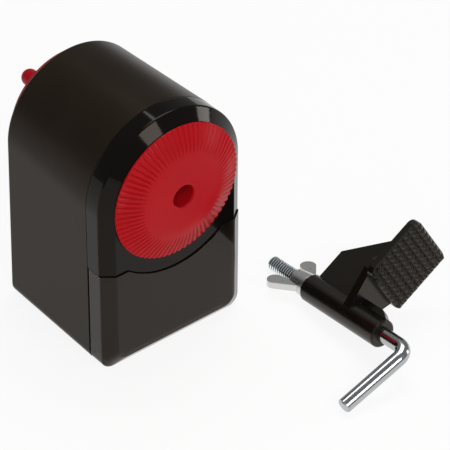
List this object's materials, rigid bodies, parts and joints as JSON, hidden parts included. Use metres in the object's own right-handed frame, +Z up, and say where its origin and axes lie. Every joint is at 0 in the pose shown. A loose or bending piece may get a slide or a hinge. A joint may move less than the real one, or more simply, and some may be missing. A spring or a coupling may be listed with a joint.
{
  "type": "pencil sharpener",
  "caption": "Hand-cranked pencil sharpener: arched black housing, ribbed red dial round the pencil hole, pull-out shavings drawer, crank with knob, and a loose table clamp.",
  "frame": {"origin": "on the table, under the middle of the housing", "axes": "+Z up, front faces -Y (the pencil goes in along +Y), +X to the right seen from the front, towards the loose clamp"},
  "size_m": [0.1302, 0.153, 0.1052],
  "materials": {
    "black_shell": "satin black moulded plastic",
    "black_gloss": "gloss black moulded plastic",
    "grey_frame": "plain grey moulded plastic",
    "gear_zinc": "sintered gear steel",
    "bush_brass": "turned brass",
    "screw_steel": "zinc-plated steel",
    "tool_steel": "hardened ground steel",
    "cast_alloy": "die-cast alloy",
    "red_plastic": "gloss red moulded plastic",
    "smoke_clear": "smoke-tinted see-through plastic",
    "bright_rod": "bright-plated steel",
    "bracket_black": "satin black moulded plastic",
    "nut_zinc": "bright-plated cast zinc"
  },
  "bodies": {
    "housing": {"housing_shell": "black_shell", "front_bezel": "black_gloss", "inner_frame": "grey_frame", "pencil_guide": "grey_frame", "ring_gear": "gear_zinc", "rear_bush": "bush_brass", "body_screws": "screw_steel", "bezel_screws": "screw_steel"},
    "crank": {"crank_shaft": "tool_steel", "cutter_carrier": "cast_alloy", "cutter_axle": "tool_steel", "thrust_washer": "screw_steel", "crank_disc": "red_plastic", "crank_screw": "screw_steel", "knob_pin": "screw_steel"},
    "knob": {"crank_knob": "red_plastic"},
    "cutter": {"helical_cutter": "tool_steel", "cutter_pinion": "gear_zinc"},
    "dial": {"selector_dial": "red_plastic", "dial_retainer": "grey_frame"},
    "drawer": {"shavings_drawer": "smoke_clear"},
    "rod": {"clamp_rod": "bright_rod"},
    "bracket": {"clamp_bracket": "bracket_black"},
    "nut": {"wing_nut": "nut_zinc"}
  },
  "joints": [
    {"name": "crank_turn", "type": "hinge", "parent": "housing", "child": "crank", "pos_m": [0, 0.03145, 0.0722], "axis": [0, 1, 0], "continuous": true},
    {"name": "knob_spin", "type": "hinge", "parent": "crank", "child": "knob", "pos_m": [-0.01048, 0.03605, 0.08596], "axis": [0, 1, 0], "continuous": true},
    {"name": "cutter_spin", "type": "hinge", "parent": "crank", "child": "cutter", "pos_m": [0, 0.04555, 0.0722], "axis": [0, 0.9816, -0.1908], "continuous": true},
    {"name": "dial_turn", "type": "hinge", "parent": "housing", "child": "dial", "pos_m": [0, -0.03145, 0.0722], "axis": [0, 1, 0], "range_deg": [0, 90]},
    {"name": "drawer_slide", "type": "slide", "parent": "housing", "child": "drawer", "axis": [0, -1, 0], "range_m": [0, 0.042]},
    {"name": "clamp_lift", "type": "slide", "parent": "housing", "child": "rod", "axis": [0, 0, 1], "range_m": [0, 0.15]},
    {"name": "bracket_slide", "type": "slide", "parent": "rod", "child": "bracket", "axis": [-0.0312, -0.9918, 0.1236], "range_m": [-0.0121, 0.0031]},
    {"name": "wing_nut_turn", "type": "hinge", "parent": "bracket", "child": "nut", "pos_m": [0.0568, -0.021, 0.00293], "axis": [-0.0312, -0.9918, 0.1236], "range_deg": [-3456, 864]}
  ],
  "couplings": [
    {"joint": "cutter_spin", "follows": "crank_turn", "ratio": -2.8},
    {"joint": "bracket_slide", "follows": "wing_nut_turn", "m_per_rad": 0.00019894}
  ]
}
